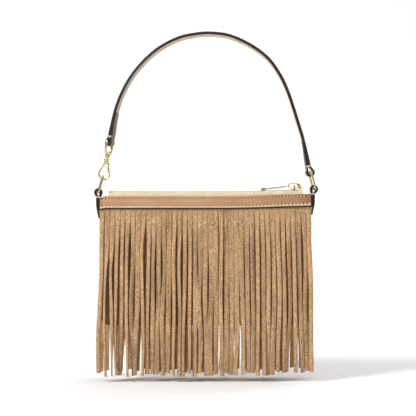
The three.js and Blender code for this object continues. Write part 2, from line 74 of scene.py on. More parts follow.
STRAP_WIDTH = 9.0
STRAP_PLY = 1.7
LINING_PLY = 1.3
PLY_GAP = 0.3
LEFT_STRAP_LOOP = (-95.6, 53.4)
RIGHT_STRAP_LOOP = (104.4, 23.6)
LEFT_TAB_LOOP = (-107.1, 3.7)
RIGHT_TAB_LOOP = (108.8, 6.9)
LEFT_TAB_TIP = -22.5
RIGHT_TAB_TIP = -19.0
TAB_WIDTH = 9.0
TAB_PLY = 2.1
# The middle of the strap in X and Z, from the left loop to the right one.
STRAP_ROUTE = [
    (-95.0, 58), (-92.0, 72), (-88.0, 88), (-82.0, 103.5), (-73, 119.3), (-60, 134.8), (-45, 147.2), (-25.5, 157.0),
    (-5.5, 161.0), (8, 161.3), (24.5, 158.8), (44.5, 150), (62, 137), (74.5, 120), (82, 104), (87.5, 88), (92.5, 72),
    (97.3, 56), (100.6, 42), (103.2, 29.5),
]
FOLD_BACK = 26.0
LOOP_SWELL = 1.3  # how much thicker the ply is at the middle of a loop

RING_WIRE = 1.05
HOOK_WIRE = 0.88
PULL_WIRE = 0.5
RING_HALF_WIDTH = 7.0
LEFT_RING_TOP = (-102.35, 19.5)
LEFT_RING_TURN = math.radians(8)
RIGHT_RING_TURN = math.radians(6)
HOOK_BALL = (-98.6, 36.2)
HOOK_LEAN = math.radians(9.8)


def mix(a, b, share):
    """The value a given share of the way from a to b."""
    return a + (b - a) * share


def smooth(share):
    """Nought to one with a level start and end."""
    share = min(max(share, 0.0), 1.0)
    return share * share * (3 - 2 * share)


# ---- Materials ----
def linear(red, green, blue):
    """A colour given as a screen shows it, as the shader takes it."""
    def one(value):
        value /= 255
        return value / 12.92 if value <= 0.04045 else ((value + 0.055) / 1.055) ** 2.4

    return (one(red), one(green), one(blue), 1.0)


class Shading:
    """A material's node tree, with short calls for the nodes used here."""

    def __init__(self, name, roughness, metallic=0.0, specular=0.5):
        self.material = bpy.data.materials.new(name)
        self.material.use_nodes = True
        self.tree = self.material.node_tree
        self.shader = self.tree.nodes["Principled BSDF"]
        self.shader.inputs["Roughness"].default_value = roughness
        self.shader.inputs["Metallic"].default_value = metallic
        self.shader.inputs["Specular IOR Level"].default_value = specular
        self.coordinates = self.tree.nodes.new("ShaderNodeTexCoord").outputs["Object"]

    def feed(self, socket, value):
        """Links another node's output to a socket, or sets the socket to a plain value."""
        if isinstance(value, bpy.types.NodeSocket):
            self.tree.links.new(value, socket)
        else:
            socket.default_value = value

    def node(self, kind, settings=None, **inputs):
        made = self.tree.nodes.new(kind)
        for key, value in (settings or {}).items():
            setattr(made, key, value)
        for key, value in inputs.items():
            self.feed(made.inputs[key.replace("_", " ")], value)
        return made

    def stretched(self, scale, turn=(0, 0, 0)):
        return self.node(
            "ShaderNodeMapping", Vector=self.coordinates, Scale=scale, Rotation=turn
        ).outputs["Vector"]

    def noise(self, scale, detail=3.0, roughness=0.6, vector=None, distortion=0.0):
        return self.node(
            "ShaderNodeTexNoise", Vector=vector or self.coordinates, Scale=scale, Detail=detail,
            Roughness=roughness, Distortion=distortion,
        ).outputs["Fac"]

    def wave(self, direction, **inputs):
        settings = {"wave_type": "BANDS", "bands_direction": direction}
        return self.node("ShaderNodeTexWave", settings, **inputs).outputs["Fac"]

    def ramp(self, factor, stops):
        made = self.node("ShaderNodeValToRGB", Fac=factor)
        ramp = made.color_ramp
        while len(ramp.elements) < len(stops):
            ramp.elements.new(0.5)
        for element, (position, colour) in zip(ramp.elements, stops):
            element.position = position
            element.color = colour
        return made.outputs["Color"]

    def blend(self, factor, first, second, mode="MIX"):
        made = self.tree.nodes.new("ShaderNodeMix")
        made.data_type = "RGBA"
        made.blend_type = mode
        for index, value in ((0, factor), (6, first), (7, second)):  # the sockets for colours
            self.feed(made.inputs[index], value)
        return made.outputs[2]

    def maths(self, operation, *terms):
        made = self.tree.nodes.new("ShaderNodeMath")
        made.operation = operation
        for socket, value in zip(made.inputs, terms):
            self.feed(socket, value)
        return made.outputs[0]

    def colour(self, output):
        self.tree.links.new(output, self.shader.inputs["Base Color"])

    def roughness(self, output):
        self.tree.links.new(output, self.shader.inputs["Roughness"])

    def bump(self, height, distance, strength=1.0):
        made = self.node("ShaderNodeBump", Height=height, Distance=distance, Strength=strength)
        self.tree.links.new(made.outputs["Normal"], self.shader.inputs["Normal"])

    def sheen(self, weight, roughness, tint):
        self.shader.inputs["Sheen Weight"].default_value = weight
        self.shader.inputs["Sheen Roughness"].default_value = roughness
        self.shader.inputs["Sheen Tint"].default_value = tint


def suede_material(name, dark, middle, light):
    """Napped leather: a fine grain, with brushed patches that run down the strips."""
    s = Shading(name, 0.95, specular=0.15)
    grain = s.noise(1000, detail=4, roughness=0.7)
    fine = s.noise(3200, detail=2)
    both = s.maths("MULTIPLY_ADD", fine, 0.35, grain)
    ground = s.ramp(grain, [(0.34, dark), (0.5, middle), (0.68, light)])
    patches = s.noise(1.0, detail=3, vector=s.stretched((170, 170, 26)), distortion=0.4)
    brushed = s.ramp(patches, [(0.32, (0.70, 0.68, 0.66, 1)), (0.5, (0.98, 0.98, 0.98, 1)),
                               (0.7, (1.22, 1.21, 1.19, 1))])
    s.colour(s.blend(0.85, ground, brushed, "MULTIPLY"))
    s.bump(both, 0.00035, 0.55)
    s.sheen(0.12, 0.45, (1.0, 0.9, 0.78, 1))
    return s.material


def band_material():
    """Smooth leather pressed with a slanting crosshatch, with painted shade darkening both ends, the right end most."""
    s = Shading("band_leather", 0.45, specular=0.4)
    grooves = {"Distortion": 0.7, "Detail": 2.0, "Detail_Scale": 0.2}
    one_way = s.wave("DIAGONAL", Vector=s.stretched((1, 0, -1)), Scale=235.0, **grooves)
    other_way = s.wave("DIAGONAL", Vector=s.stretched((1, 0, 1)), Scale=330.0, **grooves)
    hatch = s.maths("ADD", s.maths("MULTIPLY", one_way, 0.65), s.maths("MULTIPLY", other_way, 0.35))
    cloud = s.noise(45, detail=4)
    base = s.ramp(cloud, [(0.3, linear(190, 142, 102)), (0.55, linear(206, 160, 120)), (0.75, linear(216, 174, 136))])
    tint = s.ramp(hatch, [(0.15, (0.5, 0.44, 0.38, 1)), (0.45, (0.95, 0.94, 0.92, 1)), (0.8, (1.25, 1.25, 1.25, 1))])
    # Painted shade: the colour is darkened along X towards both ends, most at the right end.
    across = s.node("ShaderNodeSeparateXYZ", Vector=s.coordinates).outputs["X"]
    along = s.maths("MULTIPLY_ADD", across, 1 / POUCH_WIDTH, 0.5)
    painted_end_shade = s.ramp(along, [(0.0, (0.86, 0.84, 0.82, 1)), (0.06, (1, 1, 1, 1)), (0.5, (0.98, 0.98, 0.98, 1)),
                             (0.8, (0.93, 0.9, 0.87, 1)), (0.92, (0.8, 0.75, 0.7, 1)), (1.0, (0.5, 0.43, 0.36, 1))])
    s.colour(s.blend(1.0, s.blend(1.0, base, tint, "MULTIPLY"), painted_end_shade, "MULTIPLY"))
    s.bump(hatch, 0.0002, 0.7)
    return s.material


def grained_leather(name, dark, light, roughness, grain_scale=900):
    """Leather with a pebbled grain, clouded between two tones."""
    s = Shading(name, roughness, specular=0.4)
    pebbles = s.node("ShaderNodeTexVoronoi", {"feature": "F1"}, Vector=s.coordinates, Scale=float(grain_scale))
    cloud = s.noise(60, detail=5)
    s.colour(s.ramp(cloud, [(0.3, dark), (0.7, light)]))
    s.bump(pebbles.outputs["Distance"], 0.00018, 0.5)
    return s.material


def paint_material():
    """Edge paint: dark, and a little uneven."""
    s = Shading("edge_paint", 0.42, specular=0.4)
    waves = s.noise(220, detail=3)
    s.colour(s.ramp(waves, [(0.3, linear(32, 21, 19)), (0.7, linear(54, 38, 35))]))
    s.bump(waves, 0.0002, 0.4)
    return s.material


def thread_material(name, dark, light):
    """Twisted thread."""
    s = Shading(name, 0.7, specular=0.3)
    strands = s.wave("DIAGONAL", Vector=s.coordinates, Scale=900.0, Distortion=1.0)
    s.colour(s.ramp(strands, [(0.2, dark), (0.7, light)]))
    s.bump(strands, 0.0001, 0.6)
    return s.material


def tape_material():
    """Ribbed zip cloth."""
    s = Shading("zip_cloth", 0.9, specular=0.2)
    ribs = s.wave("X", Vector=s.coordinates, Scale=420.0, Distortion=0.6)
    cloud = s.noise(120, detail=4)
    base = s.ramp(cloud, [(0.3, linear(216, 200, 170)), (0.7, linear(234, 220, 196))])
    tint = s.ramp(ribs, [(0.0, (0.86, 0.84, 0.80, 1)), (0.6, (1, 1, 1, 1))])
    s.colour(s.blend(0.8, base, tint, "MULTIPLY"))
    s.bump(ribs, 0.00012, 0.6)
    s.sheen(0.15, 0.5, (1, 0.97, 0.9, 1))
    return s.material


def gold_material():
    """Pale gold plate, finely brushed, darker where it turns away from view."""
    s = Shading("pale_gold", 0.22, metallic=1.0)
    s.shader.inputs["Specular Tint"].default_value = (0.3, 0.24, 0.14, 1)
    cloud = s.noise(300, detail=4)
    s.colour(s.ramp(cloud, [(0.3, linear(200, 180, 128)), (0.7, linear(232, 216, 168))]))
    scratches = s.noise(1.0, detail=3, vector=s.stretched((500, 500, 3500)))
    s.roughness(s.ramp(scratches, [(0.3, (0.16, 0.16, 0.16, 1)), (0.7, (0.32, 0.32, 0.32, 1))]))
    s.bump(scratches, 0.00002, 0.4)
    return s.material


SUEDE_FRONT = suede_material("suede", linear(122, 90, 60), linear(186, 149, 110), linear(238, 204, 164))
# Darker suede for the strips' cut sides: painted shade in the slits between strips.
SLIT_SHADE_SUEDE = suede_material("suede_cut_edge_painted_shade", linear(96, 66, 42), linear(126, 92, 62), linear(150, 114, 80))
# A darker suede for the pouch panels: painted shade seen through the slits of the fringe.
SHADED_PANEL_SUEDE = suede_material("suede_panel_painted_shade", linear(100, 72, 48), linear(132, 98, 68), linear(160, 124, 90))
BAND = band_material()
# A lighter leather for the raised crease above the painted edge: a painted highlight.
CREASE_HIGHLIGHT = grained_leather("crease_ridge_painted_highlight", linear(214, 176, 138), linear(234, 202, 168), 0.4)
TAN = grained_leather("strap_leather", linear(160, 108, 68), linear(192, 138, 92), 0.5)
BEIGE = grained_leather("lining_leather", linear(186, 166, 146), linear(212, 194, 174), 0.6, 1300)
# A darker copy of the beige lining leather for the strap's folded ends: painted shade.
SHADED_FOLD_LEATHER = grained_leather("folded_leather_painted_shade", linear(112, 92, 80), linear(140, 118, 104), 0.55)
PAINT = paint_material()
STITCH = thread_material("stitch_thread", linear(216, 190, 154), linear(244, 224, 194))
# Near-black colour for the needle holes: painted shade in the holes.
HOLE_SHADE = thread_material("needle_hole_shade", linear(40, 20, 12), linear(66, 38, 24))
WHIPPING = thread_material("whipping_thread", linear(196, 168, 150), linear(228, 204, 188))
TAPE = tape_material()
GOLD = gold_material()


# ---- Mesh tools ----
class Form:
    """Gathers vertices and faces, in mm over the bands' top edge, for one piece."""

    def __init__(self):
        self.points = []
        self.faces = []
        self.slots = []

    def loft(self, sections, closed=False, slot_of=None, end_slot=0):
        """Skins a row of closed sections that have the same number of points."""
        count = len(sections[0])
        rings = len(sections)
        first = len(self.points)
        for section in sections:
            self.points += section
        for i in range(rings if closed else rings - 1):
            here = first + i * count
            there = first + (i + 1) % rings * count
            for k in range(count):
                after = (k + 1) % count
                self.faces.append((here + k, here + after, there + after, there + k))
                self.slots.append(slot_of(k) if slot_of else 0)
        if not closed:
            last = first + (rings - 1) * count
            self.faces.append(tuple(first + k for k in reversed(range(count))))
            self.faces.append(tuple(last + k for k in range(count)))
            self.slots += [end_slot, end_slot]

    def sweep(self, stations, section, **settings):
        """Carries a closed section, drawn in u and v, through (centre, u axis, v axis) stations."""
        self.loft([[centre + u_axis * u + v_axis * v for u, v in section] for centre, u_axis, v_axis in stations],
                  **settings)

    def piece(self, name, body, materials, replaces=(), slot=None, sharp=35):
        """Makes the mesh in the shared frame and says which body it rides on and what it stands for."""
        mesh = bpy.data.meshes.new(name)
        in_frame = [(p[0] * MM, p[1] * MM, (p[2] + TOP) * MM) for p in self.points]
        mesh.from_pydata(in_frame, [], self.faces)
        for material in materials:
            mesh.materials.append(material)
        mesh.polygons.foreach_set("material_index", self.slots)
        mesh.polygons.foreach_set("use_smooth", [True] * len(self.faces))
        mesh.update()
        worked = bmesh.new()
        worked.from_mesh(mesh)
        bmesh.ops.recalc_face_normals(worked, faces=worked.faces)
        worked.to_mesh(mesh)
        worked.free()
        made = bpy.data.objects.new(name, mesh)
        bpy.context.scene.collection.objects.link(made)
        bpy.context.view_layer.objects.active = made
        mesh.set_sharp_from_angle(angle=math.radians(sharp))
        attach(made, body)
        if replaces:
            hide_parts(*replaces)
        return made


def circle(radius, sides=16):
    """A round section."""
    angles = [2 * math.pi * k / sides for k in range(sides)]
    return [(radius * math.cos(a), radius * math.sin(a)) for a in angles]


def rounded(width, thickness, corner, steps=3):
    """A rectangle with round corners, anticlockwise from its right side."""
    points = []
    for quarter, (across, up) in enumerate([(1, 1), (-1, 1), (-1, -1), (1, -1)]):
        for k in range(steps + 1):
            angle = math.pi / 2 * (quarter + k / steps)
            points.append((
                across * (width / 2 - corner) + corner * math.cos(angle),
                up * (thickness / 2 - corner) + corner * math.sin(angle),
            ))
    return points


def tube_stations(points, closed=False):
    """Stations along 3-D points whose axes turn as little as they can."""
    count = len(points)
    stations = []
    side = None
    for i, point in enumerate(points):
        before = points[i - 1] if closed or i > 0 else points[0]
        after = points[(i + 1) % count] if closed or i < count - 1 else points[-1]
        along = (after - before).normalized()
        if side is None:
            side = along.orthogonal().normalized()
        side = (side - along * side.dot(along)).normalized()
        stations.append((point, side, along.cross(side)))
    return stations


def spline(points, steps):
    """Catmull-Rom through points of any size, with the given steps a stretch."""
    padded = [points[0] * 2 - points[1], *points, points[-1] * 2 - points[-2]]
    line = []
    for a, b, c, d in zip(padded, padded[1:], padded[2:], padded[3:]):
        for k in range(steps):
            t = k / steps
            line.append(0.5 * (2 * b + (c - a) * t + (2 * a - 5 * b + 4 * c - d) * t * t
                               + (3 * b - a - 3 * c + d) * t ** 3))
    line.append(points[-1])
    return line


def arc(centre, radius, start, end, steps):
    """Points in a plane on an arc given by its start and end in degrees."""
    angles = [math.radians(mix(start, end, k / steps)) for k in range(steps + 1)]
    return [Vector((centre[0] + radius * math.cos(a), centre[1] + radius * math.sin(a))) for a in angles]


# ---- Fringe ----
# One letter a strip, from the left: o the outer one, that hangs loose; n a narrow one, turned far round;
# r a raised one, turned to the left; c one that lies closed against its neighbours; j one not cut free
# until well below the band; d one turned to the right, into the shade.
STRIP_STYLES = "onnrrrdcrrrcdcrrrrccccjrjjjcjdrcrcrrdrcdr"
# Strips that hang apart low down, by the number of strips to the left of the gap, and how far in mm.
PARTINGS = {1: 1.6, 2: 2.4, 5: 3.0, 8: 0.8, 13: 1.8, 20: 0.8, 23: 0.4, 27: 1.2, 34: 1.4, 37: 2.8, 38: 2.2}
FRINGE_START = -11.0
FRINGE_TOP_Y = 11.2
FRINGE_HALF_TOP = 104.6
STRIP_STATIONS = 48
STRIP_PITCH = 2 * FRINGE_HALF_TOP / len(STRIP_STYLES)
STRIP_THICKNESS = 1.1
# The cut faces take the darker suede, painted shade in the slits.
STRIP_SIDES = (0, 1, 8, 9)  # the cut faces of strip_section


def sheet_y(z):
    """Distance of the fringe from the middle of the bag: along the panel, then nearly straight down."""
    slope = (PANEL_BOTTOM_Y - PANEL_TOP_Y) / PANEL_HEIGHT
    if z > POUCH_BOTTOM:
        return FRINGE_TOP_Y + slope * (-8.5 - z)
    bottom = FRINGE_TOP_Y + slope * (-8.5 - POUCH_BOTTOM)
    return bottom - 2.2 * smooth((POUCH_BOTTOM - z) / 50)


def strip_plan(style, side):
    """Turn in degrees, share of the strip left uncut, and curl across the strip, for each kind of strip."""
    if side > 0:
        return RANDOM.uniform(-12, 12), RANDOM.uniform(0.0, 0.2), RANDOM.uniform(0.0, 0.5)
    if style == "c":
        return RANDOM.uniform(-8, 8), RANDOM.uniform(0.04, 0.25), RANDOM.uniform(0.0, 0.3)
    if style == "j":
        return RANDOM.uniform(-4, 4), RANDOM.uniform(0.26, 0.45), RANDOM.uniform(0.0, 0.2)
    if style == "r":
        return RANDOM.uniform(16, 44), RANDOM.uniform(0.0, 0.1), RANDOM.uniform(0.3, 0.9)
    if style == "d":
        return RANDOM.uniform(-34, -18), RANDOM.uniform(0.02, 0.1), RANDOM.uniform(0.2, 0.6)
    if style == "n":
        return RANDOM.uniform(40, 58), RANDOM.uniform(0.14, 0.2), RANDOM.uniform(0.4, 0.8)
    return RANDOM.uniform(6, 16), 0.02, 0.5


def parting_shift(index):
    """How far a strip is pushed aside by the gaps near it."""
    shift = 0.0
    for gap, width in PARTINGS.items():
        reach = gap - index - 0.5
        if abs(reach) < 3:
            shift -= math.copysign(width * 0.5 * (1 - abs(reach) / 3), reach)
    return shift


def strip_section(width, thickness, curl):
    """A flat strip with soft edges whose middle stands out by the curl."""
    half, edge = width / 2, thickness / 2
    outline = [(half - 0.15, -edge * 0.6), (half, 0), (half - 0.15, edge * 0.6), (half - 0.5, edge),
               (half * 0.45, edge), (0, edge), (-half * 0.45, edge), (-half + 0.5, edge),
               (-half + 0.15, edge * 0.6), (-half, 0), (-half + 0.15, -edge * 0.6), (-half + 0.5, -edge),
               (-half * 0.45, -edge), (0, -edge), (half * 0.45, -edge), (half - 0.5, -edge)]
    return [(u, v + curl * (1 - (u / half) ** 2)) for u, v in outline]


class Strip:
    """One strip of the fringe, with its own turn, curl, sway, length and cut."""

    def __init__(self, index, style, side):
        self.side = side
        self.middle = (index + 0.5) / len(STRIP_STYLES) * 2 - 1
        turn, self.uncut, self.curl = strip_plan(style, side)
        self.twist = math.radians(turn)
        if side > 0:
            self.slit = -0.5
        else:
            self.slit = 0.45 if style in "rnod" else RANDOM.uniform(0.06, 0.3)
        parting = parting_shift(index) * (1.2 if side < 0 else 2.4)
        self.x_tip = self.middle * (FRINGE_HALF_TIP - 1.0) + RANDOM.gauss(0, 0.8) + parting
        self.tip = FRINGE_TIP + RANDOM.uniform(-0.8, 3.2) + 2.2 * smooth((self.middle - 0.4) / 0.6)
        self.sway = RANDOM.gauss(0, 0.7)
        self.waves = RANDOM.uniform(0.8, 1.8)
        self.phase = RANDOM.uniform(0, 2 * math.pi)
        self.low_twist = math.radians(RANDOM.gauss(8, 20) if side < 0 else RANDOM.gauss(0, 8))
        self.depth = RANDOM.uniform(0.0, 1.0)
        self.cut = RANDOM.gauss(0, 0.1)

    def section(self, t):
        """The strip's outline at share t of its length; its tip is cut a little askew."""
        free = smooth((t - self.uncut) / 0.22)
        low = smooth((t - 0.55) / 0.45)
        width = STRIP_PITCH + 0.05 - (self.slit + 0.05) * smooth((t - self.uncut) / 0.05)
        wobble = math.sin(self.waves * 2 * math.pi * t + self.phase)
        spread = self.middle * (FRINGE_HALF_TIP - 0.6)
        x = mix(self.middle * (FRINGE_HALF_TOP - 0.2), spread, min(t / 0.7, 1.0))
        x += (self.x_tip - spread) * low + self.sway * wobble * free
        z = mix(FRINGE_START, self.tip, t)
        angle = self.twist * free * (1 + 0.2 * wobble) + self.low_twist * low
        proud = abs(math.sin(angle)) * width * 0.42 + (0.2 * free + 1.4 * low) * self.depth
        across = Vector((math.cos(angle), -math.sin(angle), self.cut if t == 1 else 0))
        out = Vector((math.sin(angle), math.cos(angle), 0)) * self.side
        centre = Vector((x, self.side * (sheet_y(z) + proud), z))
        return [centre + across * u + out * v for u, v in strip_section(width, STRIP_THICKNESS, self.curl * free)]


def make_fringe(name, side, node):
    """Strips hanging from the sewn header of one sheet."""
    form = Form()
    for index, style in enumerate(STRIP_STYLES):
        strip = Strip(index, style, side)
        form.loft([strip.section(k / (STRIP_STATIONS - 1)) for k in range(STRIP_STATIONS)],
                  slot_of=lambda k: int(k in STRIP_SIDES))
    header = [(Vector((x, side * (FRINGE_TOP_Y + 0.05), -12.0)), Vector((0, 1, 0)), Vector((0, 0, 1)))
              for x in (0.1 - FRINGE_HALF_TOP, FRINGE_HALF_TOP - 0.1)]
    form.sweep(header, rounded(0.95, 6.0, 0.3, 2))
    return form.piece(name, "pouch", [SUEDE_FRONT, SLIT_SHADE_SUEDE], [node], "suede")


# ---- Pouch ----
def pouch_outline(inset, corner_steps=8):
    """The pouch seen from the front, from its top right corner round the bottom to the top left."""
    half = POUCH_HALF - inset
    low = POUCH_BOTTOM + inset
    corner = 12 - inset
    points = [Vector((half, -1 - 10 * k)) for k in range(11)]
    points += arc((half - corner, low + corner), corner, 0, -90, corner_steps)
    points += [Vector((half - corner - (2 * (half - corner)) * k / 20, low)) for k in range(1, 20)]
    points += arc((-half + corner, low + corner), corner, -90, -180, corner_steps)
    points += [Vector((-half, -101 + 10 * k)) for k in range(11)]
    return points


def panel_y(z):
    """Distance of a panel from the middle of the bag, which grows downwards."""
    return mix(PANEL_TOP_Y, PANEL_BOTTOM_Y, (PANEL_TOP - z) / PANEL_HEIGHT)


def make_panel(name, side, node):
    """A suede panel with a turned edge: rings of its outline, drawn in towards a bulging middle."""
    outline = pouch_outline(0.1)
    centre = Vector((0, -60))
    rings = [(1.0, 0.0), (0.985, 0.5), (0.96, 0.55), (0.85, 0.5), (0.6, 0.35), (0.3, 0.2)]

    def ring(share, swell, face):
        drawn_in = [point * share + centre * (1 - share) for point in outline]
        return [Vector((x, side * (panel_y(z) + swell * 0.2 + face), z)) for x, z in drawn_in]

    form = Form()
    form.loft([ring(share, swell, 0.4) for share, swell in reversed(rings)]
              + [ring(share, swell, -0.5) for share, swell in rings])
    # The panel takes the darker suede, painted shade behind the fringe.
    form.piece(name, "pouch", [SHADED_PANEL_SUEDE], [node], "suede")


def make_gusset():
    """The strip round the sides and bottom, bowed a little inwards between its seams."""
    form = Form()
    outline = pouch_outline(0.6)
    stations = []
    for i, point in enumerate(outline):
        before = outline[max(i - 1, 0)]
        after = outline[min(i + 1, len(outline) - 1)]
        along = (after - before).normalized()
        out = Vector((along.y, 0, -along.x))
        half = panel_y(point.y) - 0.9
        stations.append((Vector((point.x, 0, point.y)), Vector((0, half, 0)), out))
    section = [(-1, 0.45), (-0.94, 0.6), (-0.6, 0.35), (0, 0.2), (0.6, 0.35), (0.94, 0.6), (1, 0.45),
               (1, -0.5), (0.5, -0.6), (-0.5, -0.6), (-1, -0.5)]
    form.sweep(stations, section)
    form.piece("gusset_strip", "pouch", [SUEDE_FRONT], ["gusset"], "suede")


# ---- Bands ----
def band_rise(x):
    """How much the soft top edge is drawn up by the tabs at the two ends."""
    return 2.2 * smooth((x - 10) / 98) ** 1.4 - 1.3 * smooth((-97 - x) / 8) ** 2


# The band's face from its top edge down: how far it stands out from the flat, and the height.
BAND_FACE = [
    (-0.45, 0.0), (-0.05, -0.5), (0.1, -1.2), (-0.15, -1.75), (-0.15, -2.75), (0.2, -3.4), (0.42, -4.8), (0.48, -6.2),
    (0.36, -7.8), (-0.1, -8.9), (-0.1, -9.9), (0.2, -10.4), (0.3, -11.0), (0.15, -11.5), (0.0, -12.1), (-0.1, -12.7),
    (-0.6, -13.1),
]
BAND_SECTION = [(BAND_BACK_Y, -0.2), (BAND_BACK_Y + 0.5, 0.05),
                *((BAND_FACE_Y + proud, z) for proud, z in BAND_FACE), (BAND_BACK_Y, -13.0)]
# Faces of that section, counted from its start: the crease ridge, which takes a painted highlight, and the painted
# edge.
HIGHLIGHT_RIDGE_FACES = range(11, 15)
PAINT_FACES = range(15, 19)
STITCH_ROWS = ((-2.25, 3.3), (-9.4, 3.55))  # height and pitch


def make_band(name, side, node):
    """A folded band of smooth leather, with its lower edge creased and painted, and a lighter leather on the crease
    ridge as a painted highlight.
    """
    steps = 84
    xs = [mix(-BAND_HALF, BAND_HALF, i / steps) for i in range(steps + 1)]
    stations = [(Vector((x, 0, band_rise(x))), Vector((0, side, 0)), Vector((0, 0, 1))) for x in xs]
    section = BAND_SECTION if side > 0 else BAND_SECTION[::-1]

    def slot_of(k):
        face = k if side > 0 else len(section) - 2 - k
        return 1 if face in PAINT_FACES else 2 if face in HIGHLIGHT_RIDGE_FACES else 0

    form = Form()
    form.sweep(stations, section, slot_of=slot_of, end_slot=1)
    form.piece(name, "pouch", [BAND, PAINT, CREASE_HIGHLIGHT], [node], "band_leather")


def add_stitch(form, start, end, radius, bulge, out):
    """One thread between two needle holes: a short rounded bar that dips in at both ends."""
    points = [start.lerp(end, k / 6) + out * (math.sin(math.pi * k / 6) * bulge - 0.1) for k in range(7)]
    form.sweep(tube_stations(points), circle(radius, 8))


def add_hole(form, centre, out):
    """A shallow dark button, painted shade where the needle went in, drawn out along the row and aslant."""
    levels = ((-0.3, 1.0), (0.22, 1.0), (0.28, 0.8))
    rings = [(centre + out * d, Vector((1, 0, 0.25)) * r, Vector((0, 0, 1)) * r) for d, r in levels]
    form.sweep(rings, [(u * 2.1, v * 1.4) for u, v in circle(0.52, 10)])


def make_band_stitches(name, side):
    """Two rows of thread along a band, with dark buttons as painted shade in the needle holes between the stitches."""
    threads, holes = Form(), Form()
    out = Vector((0, side, 0))
    inset = 2.0
    for height, pitch in STITCH_ROWS:
        count = int((2 * BAND_HALF - 2 * inset) / pitch)
        for i in range(count + 1):
            x = -BAND_HALF + inset + i * pitch
            z = height + band_rise(x)
            add_hole(holes, Vector((x, side * (BAND_FACE_Y - 0.22), z)), out)
            if i < count:
                y = side * (BAND_FACE_Y - 0.1)
                start, end = Vector((x + 0.95, y, z - 0.15)), Vector((x + pitch - 0.95, y, z + 0.2))
                add_stitch(threads, start, end, 0.5, 0.42, out)
    threads.piece(name, "pouch", [STITCH], slot="band_leather")
    holes.piece(name + "_holes", "pouch", [HOLE_SHADE], slot="band_leather")


# ---- Zip ----
TAPE_THICKNESS = 0.64
TAPE_LINE = [(8.4, -9.0), (8.4, -2.0), (8.2, 0.0), (7.3, 1.6), (6.1, 2.8), (5.0, 3.45), (4.0, 3.7), (3.2, 3.7)]
TOOTH_STATIONS = [  # reach past the middle, width and height
    (-3.3, 0.8, 1.1), (-3.0, 0.95, 1.2), (-1.2, 0.95, 1.2), (-0.2, 0.75, 1.1), (0.5, 0.9, 1.05),
    (0.85, 0.75, 0.85), (0.95, 0.4, 0.4),
]


def tape_rise(x):
    """Share of the tapes' height, which runs out at the left end where they go down into the pouch."""
    return mix(0.25, 1.0, smooth((x + 101) / 9))


def tape_lift(x):
    """How far the tapes are drawn up with the bands they are sewn to."""
    return band_rise(x) * 0.8


def make_tape(name, side, node):
    """A cloth tape that stands out of its band and lies over towards the teeth, a little rippled."""
    section = TAPE_LINE + [(y - 0.1, z - TAPE_THICKNESS) for y, z in TAPE_LINE[::-1]]
    steps = 96
    sections = []
    for i in range(steps + 1):
        x = mix(TAPE_LEFT, TAPE_RIGHT, i / steps)
        ripple = 0.12 * math.sin(x * 0.55 + side) + 0.1 * math.sin(x * 0.23)
        turned_up = 4.4 * smooth((x - 94.0) / 1.3)
        ring = []
        for y, z in section:
            height = z if z < 0 else z * tape_rise(x) + ripple * min(z, 2) + tape_lift(x)
            ring.append(Vector((x, side * y, height + turned_up * smooth(z / 3))))
        sections.append(ring)
    form = Form()
    form.loft(sections)
    form.piece(name, "pouch", [TAPE], [node], "zip_tape")


def make_teeth(name, side, node):
    """Cast teeth clamped on the tape's corded edge, each with a rounded head."""
    form = Form()
    x = TEETH_LEFT + 1.25 + (0 if side < 0 else TOOTH_PITCH / 2)
    while x < TEETH_RIGHT - 0.5:
        z = ZIP_HEIGHT * tape_rise(x) + tape_lift(x)
        stations = [(Vector((x, -side * reach, z)), Vector((wide, 0, 0)), Vector((0, 0, -side * tall)))
                    for reach, wide, tall in TOOTH_STATIONS]
        form.sweep(stations, [(u * 2, v * 2) for u, v in rounded(1, 1, 0.25, 2)])
        x += TOOTH_PITCH
    cord = [Vector((x, side * 3.0, ZIP_HEIGHT * tape_rise(x) + tape_lift(x)))
            for x in [mix(TEETH_LEFT, TEETH_RIGHT, k / 60) for k in range(61)]]
    form.sweep(tube_stations(cord), circle(0.75, 10), slot_of=lambda k: 1)
    form.piece(name, "pouch", [GOLD, TAPE], [node], "gold_metal")


# ---- Strap and tabs ----
def strap_line():
    """The middle of the strap from loop to loop, in X and Z."""
    return spline([Vector(point) for point in STRAP_ROUTE], 8)


def line_lengths(line):
    """Length from the line's start to each of its points."""
    lengths = [0.0]
    for a, b in zip(line, line[1:]):
        lengths.append(lengths[-1] + (b - a).length)
    return lengths


def strip_stations(line):
    """Stations for a flat strip that follows a line in X and Z: u is its width, v its thickness."""
    stations = []
    for i, point in enumerate(line):
        before = line[max(i - 1, 0)]
        after = line[min(i + 1, len(line) - 1)]
        along = (after - before).normalized()
        normal = Vector((-along.y, 0, along.x))
        stations.append((Vector((point.x, 0, point.y)), Vector((0, 1, 0)), normal))
    return stations


def flat_section(width, thickness):
    """Wide faces above and below, and rounded painted sides."""
    half, edge = width / 2, thickness / 2
    side = [(half - 0.35, -edge), (half - 0.08, -edge * 0.6), (half, 0), (half - 0.08, edge * 0.6), (half - 0.35, edge)]
    return side + [(-u, -v) for u, v in side]


OUTER_FACE = 4
INNER_FACE = 9
FOLDED_SPANS = 30  # spans at each end of the strap where the ply's other face shows


def flat_slot(k):
    """0 for the face towards +v, 1 for the face towards -v, 2 for the sides."""
    return {OUTER_FACE: 0, INNER_FACE: 1}.get(k, 2)


def strap_turn(share):
    """How far the strap is wrung round its own length, from its left end to its right end."""
    turns = [(0.0, -18), (0.15, -13), (0.3, -13), (0.5, -11), (0.62, -5), (0.75, 0), (0.92, -1), (1.0, -5)]
    for (from_share, from_turn), (to_share, to_turn) in zip(turns, turns[1:]):
        if share <= to_share:
            return math.radians(mix(from_turn, to_turn, smooth((share - from_share) / (to_share - from_share))))
    return math.radians(turns[-1][1])


